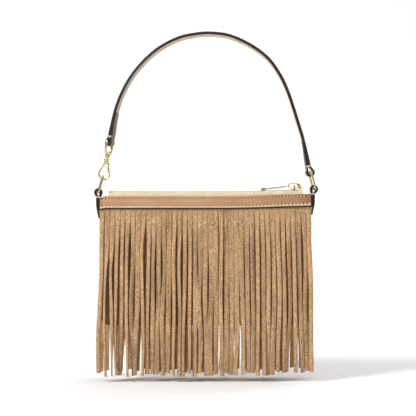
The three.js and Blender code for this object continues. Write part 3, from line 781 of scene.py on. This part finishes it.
def wrung(centre, along, share, inside, thickness):
    """A station of the strap: moved to the inside of the arch and turned about the strap's own middle."""
    turn = Matrix.Rotation(strap_turn(share), 3, Vector((along.x, 0, along.y)))
    normal = turn @ Vector((-along.y, 0, along.x))
    across = turn @ Vector((0, 1, 0))
    return Vector((centre.x, 0, centre.y)) - normal * inside, across, normal * thickness


def strap_stations(from_share, to_share, count, inside_of, thickness_of):
    """Stations between two shares of the strap's length, with their depth and thickness given by share."""
    line = strap_line()
    lengths = line_lengths(line)
    stations = []
    for k in range(count + 1):
        share = mix(from_share, to_share, k / count)
        wanted = share * lengths[-1]
        i = max(j for j in range(len(line) - 1) if lengths[j] <= wanted + 1e-9)
        part = (wanted - lengths[i]) / (lengths[i + 1] - lengths[i])
        along = (line[min(i + 2, len(line) - 1)] - line[max(i - 1, 0)]).normalized()
        centre = line[i].lerp(line[i + 1], part)
        stations.append(wrung(centre, along, share, inside_of(share), thickness_of(share)))
    return stations


def loop_stations(loop, radius, share, start, end):
    """The strap's end going round a bar, with its normal pointing away from the bar."""
    ends = STRAP_ROUTE[:2] if share < 0.5 else STRAP_ROUTE[-2:]
    along = (Vector(ends[1]) - Vector(ends[0])).normalized()
    rotate = Matrix.Rotation(strap_turn(share), 3, Vector((along.x, 0, along.y)))
    stations = []
    for k in range(25):
        angle = math.radians(mix(start, end, k / 24))
        out = rotate @ Vector((math.cos(angle), 0, math.sin(angle)))
        swell = mix(1.0, LOOP_SWELL, math.sin(math.pi * k / 24) ** 0.6)
        stations.append((Vector((loop[0], 0, loop[1])) + out * radius, rotate @ Vector((0, 1, 0)), out * swell))
    return stations


def make_outer_ply(share, outer):
    """The strap's outer ply, folded back at both ends round a loop and pared down to nothing much."""
    folded = outer + STRAP_PLY + LINING_PLY

    def tapered(at):
        return 1.0 - 0.85 * smooth(min(at, 1 - at) / share)

    def under(at):
        return folded - STRAP_PLY / 2 * (1 - tapered(at))

    def folded_end(start, end):
        return [(centre, across, -normal) for centre, across, normal in strap_stations(start, end, 16, under, tapered)]

    line = folded_end(share, 0)
    line += loop_stations(LEFT_STRAP_LOOP, 1.6 + LOOP_SWELL * STRAP_PLY / 2, 0, 22, -202)
    line += strap_stations(0, 1, 120, level(outer), level(1.0))
    line += loop_stations(RIGHT_STRAP_LOOP, 2.2 + LOOP_SWELL * STRAP_PLY / 2, 1, 30, -210)
    line += folded_end(1, 1 - share)
    section = flat_section(STRAP_WIDTH, STRAP_PLY)
    form = Form()
    form.sweep(line, section, slot_of=flat_slot, end_slot=2)
    # The folded ends show the ply's other face; its darker leather there is painted shade.
    for i in [*range(FOLDED_SPANS), *range(len(line) - 1 - FOLDED_SPANS, len(line) - 1)]:
        form.slots[i * len(section) + OUTER_FACE] = 3
    form.piece("strap_outer_ply", "strap", [TAN, TAN, PAINT, SHADED_FOLD_LEATHER], ["strap_outer"], "strap_leather")


def make_strap_stitches(whole, share, outer):
    """A row of thread along each edge of the strap, on both faces, between the folded ends."""
    stitches = Form()
    pitch = 3.4
    count = int(whole * (1 - 2 * share) / pitch)
    for edge in (-1, 1):
        for face, inside in ((1, outer - STRAP_PLY / 2), (-1, outer + STRAP_PLY / 2 + LINING_PLY)):
            for i in range(count):
                ends = []
                for reach in (0.18, 0.82):
                    at = share + (i + reach) * pitch / whole
                    centre, across, normal = strap_stations(at, at, 1, level(inside), level(1.0))[0]
                    ends.append((centre + across * edge * (STRAP_WIDTH / 2 - 1.5), normal * face))
                add_stitch(stitches, ends[0][0], ends[1][0], 0.3, 0.28, ends[0][1])
    stitches.piece("strap_stitches", "strap", [STITCH], slot="lining_leather")


def level(value):
    """The same value at every share of the strap."""
    return lambda at: value


def make_strap():
    """Both plies of the strap, and their stitching."""
    whole = line_lengths(strap_line())[-1]
    share = FOLD_BACK / whole
    outer = -LINING_PLY / 2
    make_outer_ply(share, outer)
    lining = strap_stations(0.004, 0.996, 120, level(outer + STRAP_PLY / 2 + LINING_PLY / 2), level(1.0))
    form = Form()
    form.sweep(lining, flat_section(STRAP_WIDTH - 0.1, LINING_PLY), slot_of=flat_slot, end_slot=2)
    form.piece("strap_lining_ply", "strap", [TAN, BEIGE, PAINT], ["strap_lining"], "lining_leather")
    make_strap_stitches(whole, share, outer)


def make_whipping(name, body, centre, along, turn, width, thickness):
    """Two turns of thread wound round the plies close to a loop."""
    along = Vector((along[0], 0, along[1])).normalized()
    rotate = Matrix.Rotation(turn, 3, along)
    across = rotate @ Vector((0, 1, 0))
    normal = rotate @ Vector((-along.z, 0, along.x))
    form = Form()
    for step in (-0.42, 0.42):
        middle = Vector((centre[0], 0, centre[1])) + along * step
        points = [middle + across * u + normal * v for u, v in rounded(width, thickness, 0.7, 4)]
        form.sweep(tube_stations(points, True), circle(0.45, 8), closed=True)
    form.piece(name, body, [WHIPPING], slot="strap_leather" if body == "strap" else None)


def make_tab(name, side, loop, tip, node):
    """A strip folded over a ring and stitched to the pouch's side, its outer end cut to a point."""
    inner = side * (POUCH_HALF + PLY_GAP + TAB_PLY / 2 - 0.5)
    outer = inner + side * (TAB_PLY + 0.1)
    middle = (inner + outer) / 2
    neck = loop[1] - 4.2
    line = [Vector((inner, mix(tip + 8, neck - 0.5, k / 8))) for k in range(9)]
    start, end = (-30, 210) if side < 0 else (210, -30)
    line += arc((mix(middle, loop[0], 0.7), loop[1]), 1.9 + TAB_PLY / 2, start, end, 24)
    line += [Vector((mix(outer, middle - side * 0.4, smooth((k - 5) / 11)), mix(neck - 0.5, tip + 0.3, k / 16)))
             for k in range(17)]
    stations = []
    for i, (centre, width, normal) in enumerate(strip_stations(line)):
        drop = neck - centre.z
        taper = 1.0
        if i > 32:  # the outer leg, cut to a point and pared
            taper = max(min((centre.z - tip) / 8, 1.0), 0.06) ** 0.7
            thin = mix(1.0, 0.6, smooth((drop - 9) / (neck - tip - 9)))
        elif i < 9:  # the inner leg, pared
            thin = mix(1.0, 0.6, smooth((drop - 8) / 8))
        else:  # the loop
            thin = 1.1
        stations.append((centre, width * taper, normal * thin))
    form = Form()
    form.sweep(stations, flat_section(TAB_WIDTH, TAB_PLY), slot_of=flat_slot, end_slot=2)
    form.piece(name, "pouch", [TAN, TAN, PAINT], [node], "strap_leather")
    make_whipping(name + "_whipping", "pouch", (middle, neck - 0.6), (0, 1), 0, TAB_WIDTH + 0.2, 2 * TAB_PLY + 0.3)


# ---- Rings and snap hook ----
def make_ring(name, top, bottom, turn, node):
    """A rectangle of wire with round corners between the bar in its tab and the bar in the strap."""
    top, bottom = Vector(top), Vector(bottom)
    middle = (top + bottom) / 2
    half_length = (top - bottom).length / 2
    lean = math.atan2(top.x - bottom.x, top.y - bottom.y)
    corner = 1.9
    rotate = Matrix.Rotation(lean, 3, "Y") @ Matrix.Rotation(turn, 3, "Z")
    points = []
    for quarter, (across, up) in enumerate([(1, 1), (-1, 1), (-1, -1), (1, -1)]):
        centre = (across * (RING_HALF_WIDTH - corner), up * (half_length - corner))
        for p in arc(centre, corner, 90 * quarter, 90 * quarter + 90, 8):
            points.append(rotate @ Vector((0, p.x, p.y)) + Vector((middle.x, 0, middle.y)))
    form = Form()
    form.sweep(tube_stations(points, True), circle(RING_WIRE, 16), closed=True)
    form.piece(name, "pouch", [GOLD], [node], "gold_metal")


def make_hook_eye():
    """The bow that the strap hangs in, with the barrel that the hook turns in."""
    axis = Vector((math.sin(HOOK_LEAN), 0, math.cos(HOOK_LEAN)))
    ball = Vector((HOOK_BALL[0], 0, HOOK_BALL[1]))
    turn = Matrix.Rotation(strap_turn(0) * 1.35, 3, axis)
    across = turn @ Vector((0, 1, 0))
    shape = [(2.6, 5.8), (5.0, 8.4), (5.8, 12.0), (5.9, 16.4), (5.4, 17.5), (4.4, 17.9)]
    outline = shape + [(-u, s) for u, s in shape[::-1]] + [(0.0, 5.2)]
    closed = spline([ball + across * u + axis * s for u, s in [outline[-1], *outline]], 4)[:-1]
    form = Form()
    form.sweep(tube_stations(closed, True), circle(1.3, 14), closed=True)
    barrel = [(1.9, 2.2), (2.3, 2.6), (2.5, 3.6), (2.5, 4.6), (2.2, 5.6), (1.2, 6.4), (0.4, 6.6)]
    form.sweep([(ball + axis * s, across * r, (turn @ axis.orthogonal()).normalized() * r)
                for r, s in barrel], circle(1.0, 20))
    form.piece("hook_bow", "strap", [GOLD], ["hook_eye"], "gold_metal")


def hook_point(across, along):
    """A point of the snap hook's own plane: across it, and up along its axis, from the ball."""
    return Vector((HOOK_BALL[0] + across * math.cos(HOOK_LEAN) + along * math.sin(HOOK_LEAN), 0,
                   HOOK_BALL[1] - across * math.sin(HOOK_LEAN) + along * math.cos(HOOK_LEAN)))


def turned_on_axis(form, profile, sides=20):
    """A turned part on the hook's axis, from (radius, height) pairs."""
    across = (hook_point(1, 0) - hook_point(0, 0)).normalized()
    form.sweep([(hook_point(0, s), across * r, Vector((0, r, 0))) for r, s in profile], circle(1.0, sides))


def make_hook():
    """The hook's bent wire and turned shank, with the lug that its gate hangs from."""
    form = Form()
    bend = arc((0, -14.6), 5.3, 172, 364, 24)
    line = [Vector(p) for p in ((-0.9, -2.6), (-1.9, -5.0), (-3.4, -8.5), (-4.7, -11.6))] + bend
    points = [hook_point(p.x, p.y) for p in spline(line, 3)]
    form.sweep(tube_stations(points), circle(HOOK_WIRE, 14))
    turned_on_axis(form, [(0.5, -4.6), (1.7, -4.3), (2.3, -3.6), (2.5, -2.6), (2.1, -1.9), (1.6, -1.5), (2.1, -1.1),
                          (2.5, -0.2), (2.5, 0.7), (2.0, 1.6), (1.1, 2.1), (0.8, 3.0)])
    lug = [(hook_point(1.6, -3.4), 1.0), (hook_point(2.6, -3.9), 1.25), (hook_point(3.3, -4.3), 1.0)]
    up = hook_point(0, 1) - hook_point(0, 0)
    form.sweep([(p, up * r, Vector((0, r, 0))) for p, r in lug], circle(1.0, 12))
    form.piece("snap_hook", "hook", [GOLD], ["hook_body"], "gold_metal")


def make_gate():
    """The sprung gate from the lug to the hook's nose, bowed inwards, with its thumb stud."""
    profile = [(0.1, 0.75), (0.3, 0.8), (0.6, 0.8), (0.68, 0.95), (0.74, 1.25), (0.8, 1.25), (0.86, 0.95), (1.0, 0.85)]
    start, end = hook_point(2.7, -3.2), hook_point(5.15, -13.7)
    along = (end - start).normalized()
    side = Vector((-along.z, 0, along.x))
    form = Form()
    form.sweep([(start.lerp(end, s) - side * 0.9 * math.sin(math.pi * s), side * r, Vector((0, r, 0)))
                for s, r in profile], circle(1.0, 14))
    form.piece("spring_gate", "gate", [GOLD], ["hook_gate"], "gold_metal")


def make_slider():
    """Two round-edged plates held apart by a nose, with a bridge for the ring on top."""
    form = Form()
    plan = [(-5.6, 1.6), (-5.2, 2.4), (-3.5, 3.1), (-0.5, 3.9), (3.0, 4.2), (4.6, 3.9), (5.4, 2.8), (5.8, 1.4)]
    outline = plan + [(x, -y) for x, y in plan[::-1]]
    for low, high in ((1.2, 2.3), (5.0, 6.2)):
        levels = ((low, 0.9), (low + 0.25, 1.0), (high - 0.35, 1.0), (high, 0.88))
        form.sweep([(Vector((SLIDER_X, 0, z)), Vector((s, 0, 0)), Vector((0, s, 0))) for z, s in levels], outline)
    nose = [(x * 0.35 + 3.6, y * 0.22) for x, y in outline]
    form.sweep([(Vector((SLIDER_X, 0, z)), Vector((1, 0, 0)), Vector((0, 1, 0))) for z in (1.8, 5.6)], nose)
    bridge = [Vector(p) for p in ((94.0, 0, 5.4), (94.5, 0, 8.0), (94.0, 0, 10.8), (92.4, 0, 12.0), (90.6, 0, 11.8),
                                  (89.4, 0, 10.2), (89.0, 0, 8.0), (88.8, 0, 5.6))]
    form.sweep(tube_stations(spline(bridge, 4)), [(u * 1.5, v * 0.75) for u, v in rounded(1.2, 1.6, 0.4, 3)])
    form.piece("slider", "slider", [GOLD], ["zip_slider"], "gold_metal")


def oval(centre, across, up, sides):
    """Points round an oval given by its two half axes."""
    angles = [2 * math.pi * k / sides for k in range(sides)]
    return [centre + across * math.cos(a) + up * math.sin(a) for a in angles]


def make_puller_ring():
    """The wire ring that leans back on the slider's bridge."""
    lean = math.radians(48)
    centre = Vector(PULL_HINGE) + Vector((5.0, 0, 0))
    points = oval(centre, Vector((5.0, 0, 0)), Vector((0, math.sin(lean), math.cos(lean))) * 4.6, 40)
    form = Form()
    form.sweep(tube_stations(points, True), circle(PULL_WIRE, 12), closed=True)
    form.piece("puller_ring", "pull_ring", [GOLD], ["pull_ring"], "gold_metal")


def make_puller_tab():
    """The long flat tab on the ring: its eye, its bar and its thick end."""
    slope = math.radians(6.6)
    hinge = Vector(PULL_HINGE)
    along = Vector((-math.cos(slope), 0, -math.sin(slope)))
    raised = Vector((-math.sin(slope), 0, math.cos(slope)))
    form = Form()
    eye = oval(hinge, along * 2.6, Vector((0, 3.2, 0)), 28)
    form.sweep(tube_stations(eye, True), rounded(0.56, 0.56, 0.25, 3), closed=True)
    bar = [(2.35, 1.5, 0.8), (3.1, 1.65, 1.25), (6, 1.6, 1.35), (22, 1.65, 1.4), (23, 1.8, 1.8), (23.6, 1.95, 2.8),
           (24.4, 2.0, 3.2), (26.6, 2.0, 3.2), (27.2, 1.9, 2.9), (27.5, 1.6, 2.4)]
    form.sweep([(hinge + along * reach - raised * (thick - 1.0) * 0.08, Vector((0, wide, 0)), raised * thick)
                for reach, wide, thick in bar], rounded(2.0, 1.0, 0.3, 3))
    form.piece("puller_tab", "pull_tab", [GOLD], ["pull_tab"], "gold_metal")


# ---- The bag, piece by piece ----
make_panel("panel_front", -1, "front_panel")
make_panel("panel_back", 1, "back_panel")
make_gusset()
for name, side, node, hung_on in (("fringe_front", -1, "front_fringe", "panel_front"),
                                  ("fringe_back", 1, "back_fringe", "panel_back")):
    hung = make_fringe(name, side, node)
make_band("band_front", -1, "front_band")
make_band("band_back", 1, "back_band")
make_band_stitches("band_stitches_front", -1)
make_band_stitches("band_stitches_back", 1)
make_tape("tape_front", -1, "zip_tape_front")
make_tape("tape_back", 1, "zip_tape_back")
make_teeth("teeth_front", -1, "zip_teeth_front")
make_teeth("teeth_back", 1, "zip_teeth_back")
make_strap()
for name, at, share, (end, before) in (("whipping_left", 0.09, 0, STRAP_ROUTE[:2]),
                                       ("whipping_right", 0.03, 1, STRAP_ROUTE[:-3:-1])):
    along = Vector(before) - Vector(end)
    make_whipping(name, "strap", Vector(end) + along * at, along, strap_turn(share),
                  STRAP_WIDTH + 0.2, 2 * STRAP_PLY + LINING_PLY + 0.3)
make_hook_eye()
make_hook()
make_gate()
make_slider()
make_puller_ring()
make_puller_tab()
make_tab("tab_left", -1, LEFT_TAB_LOOP, LEFT_TAB_TIP, "left_tab")
make_tab("tab_right", 1, RIGHT_TAB_LOOP, RIGHT_TAB_TIP, "right_tab")
make_ring("ring_left", LEFT_RING_TOP, LEFT_TAB_LOOP, LEFT_RING_TURN, "left_ring")
make_ring("ring_right", RIGHT_STRAP_LOOP, RIGHT_TAB_LOOP, RIGHT_RING_TURN, "right_ring")

for node in ("zip_top_stop_front", "zip_top_stop_back", "zip_bottom_stop", "gate_pin", "gate_spring"):
    materials = bpy.data.objects[node].data.materials
    materials.clear()
    materials.append(GOLD)


# ---- Studio ----
def make_stage():
    """A pale floor that narrows and curves up into a wall well behind the bag."""
    floor_z = (FRINGE_TIP - 6 + TOP) * MM
    curve_from, radius, wall_height = 0.9, 0.8, 3.5
    half_near, half_far = 3.0, 0.75
    profile = [(-half_near, 0.0), (-0.01, 0.0), (curve_from, 0.0)]
    profile += [tuple(p) for p in arc((curve_from, radius), radius, -84, 0, 14)]
    profile.append((curve_from + radius, wall_height))
    points = [(x * (half_near if y < 0 else half_far), y, floor_z + z) for y, z in profile for x in (-1, 1)]
    faces = [(2 * i, 2 * i + 1, 2 * i + 3, 2 * i + 2) for i in range(len(profile) - 1)]
    mesh = bpy.data.meshes.new("floor")
    mesh.from_pydata(points, [], faces)
    mesh.polygons.foreach_set("use_smooth", [True] * len(faces))
    floor = bpy.data.objects.new("floor", mesh)
    bpy.context.scene.collection.objects.link(floor)
    s = Shading("pale_floor", 0.9, specular=0.1)
    s.shader.inputs["Base Color"].default_value = (0.93, 0.93, 0.93, 1)
    mesh.materials.append(s.material)


def make_light(name, position, target, size, power):
    """A rectangular lamp of the given size in metres and power in watts, aimed at a target."""
    data = bpy.data.lights.new(name, "AREA")
    data.shape = "RECTANGLE"
    data.size, data.size_y = size
    data.energy = power
    light = bpy.data.objects.new(name, data)
    light.location = position
    light.rotation_euler = (Vector(target) - Vector(position)).to_track_quat("-Z", "Y").to_euler()
    bpy.context.scene.collection.objects.link(light)


def make_camera():
    """A camera level with the zip that takes in the photograph's width at the bag."""
    distance = 1.2
    view_width = 0.416
    data = bpy.data.cameras.new("camera")
    data.sensor_width = 36
    data.lens = 36 * distance / view_width
    camera = bpy.data.objects.new("camera", data)
    centre_x = 0.0025
    camera.location = (centre_x, -distance, (6 + TOP) * MM)
    aim = Vector((centre_x, 0, (-12 + TOP) * MM))
    camera.rotation_euler = (aim - camera.location).to_track_quat("-Z", "Y").to_euler()
    bpy.context.scene.collection.objects.link(camera)
    bpy.context.scene.camera = camera


make_stage()
centre = (0, 0, (-20 + TOP) * MM)
make_light("key", (-1.2, -0.9, 1.0), centre, (0.45, 0.45), 30)
make_light("fill", (1.2, -1.3, 0.0), centre, (0.8, 0.8), 1.2)
make_light("top", (0.4, 0.0, 1.3), centre, (1.6, 1.2), 9)
make_light("floor_fill", (0.9, 0.7, 0.5), (0.2, 0.2, (FRINGE_TIP + TOP) * MM), (0.5, 0.5), 5)
make_light("backdrop", (0, 0.5, 1.0), (0, 1.7, 0.8), (1.5, 1.2), 8)
world = bpy.data.worlds.new("studio")
bpy.context.scene.world = world
world.use_nodes = True
world.node_tree.nodes["Background"].inputs["Color"].default_value = (1, 1, 1, 1)
world.node_tree.nodes["Background"].inputs["Strength"].default_value = 0.27
bpy.context.scene.view_settings.view_transform = "Standard"
make_camera()
